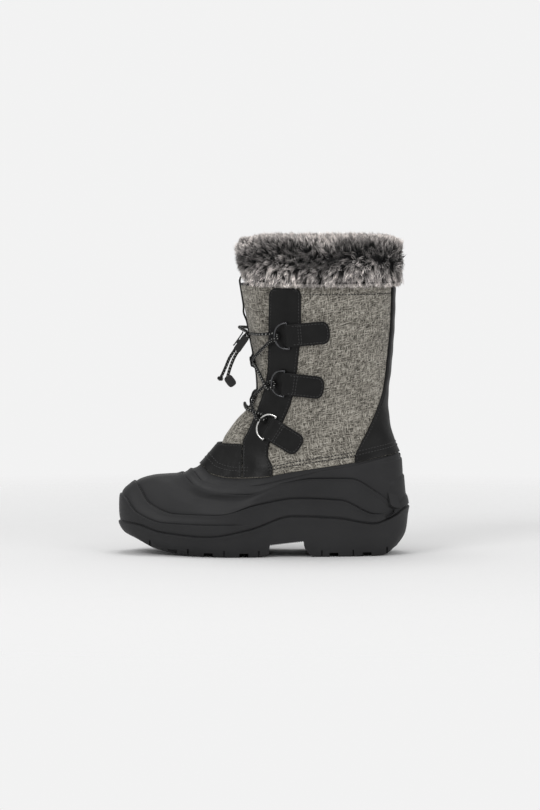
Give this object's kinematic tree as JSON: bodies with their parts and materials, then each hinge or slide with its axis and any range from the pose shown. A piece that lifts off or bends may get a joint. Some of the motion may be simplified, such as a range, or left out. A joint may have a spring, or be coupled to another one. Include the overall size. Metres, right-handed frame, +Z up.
{
  "type": "snow boot",
  "caption": "Left pac-type snow boot: moulded rubber shell and sole, fabric shaft with overlays, fur collar, ring-and-cord lacing with a cord lock.",
  "frame": {"origin": "middle of the box of all but the free cords, on the ground", "axes": "+Z up, -X to the toe, -Y to the outer (lateral) side"},
  "size_m": [0.2796, 0.1232, 0.3053],
  "materials": {
    "rubber": "matte moulded rubber",
    "leather": "grained coated leather",
    "fabric": "grey melange woven fabric",
    "lining": "felt lining",
    "fur": "deep pile fur with dark roots",
    "gunmetal": "dark plated wire",
    "nickel": "bright plated wire",
    "cord": "braided elastic cord",
    "plastic": "moulded plastic"
  },
  "bodies": {
    "root": {"shell": "rubber", "insole": "lining", "upper": "fabric", "tongue": "fabric", "vamp": "leather", "heel_counter": "leather", "fur_collar": "fur", "tongue_webbing": "cord", "eyestay_lateral": "leather", "eyestay_medial": "leather", "lace": "cord", "lead_lateral": "cord", "lead_medial": "cord", "tail_lateral": "cord", "tail_medial": "cord", "cord_lock": "plastic", "cord_end": "plastic", "cord_knot": "cord", "d_ring_lateral_1": "gunmetal", "d_ring_lateral_2": "gunmetal", "d_ring_lateral_3": "nickel", "d_ring_medial_1": "gunmetal", "d_ring_medial_2": "gunmetal", "d_ring_medial_3": "nickel", "ring_tab_lateral_1": "leather", "ring_tab_lateral_2": "leather", "ring_tab_lateral_3": "leather", "ring_tab_medial_1": "leather", "ring_tab_medial_2": "leather", "ring_tab_medial_3": "leather"}
  },
  "joints": []
}
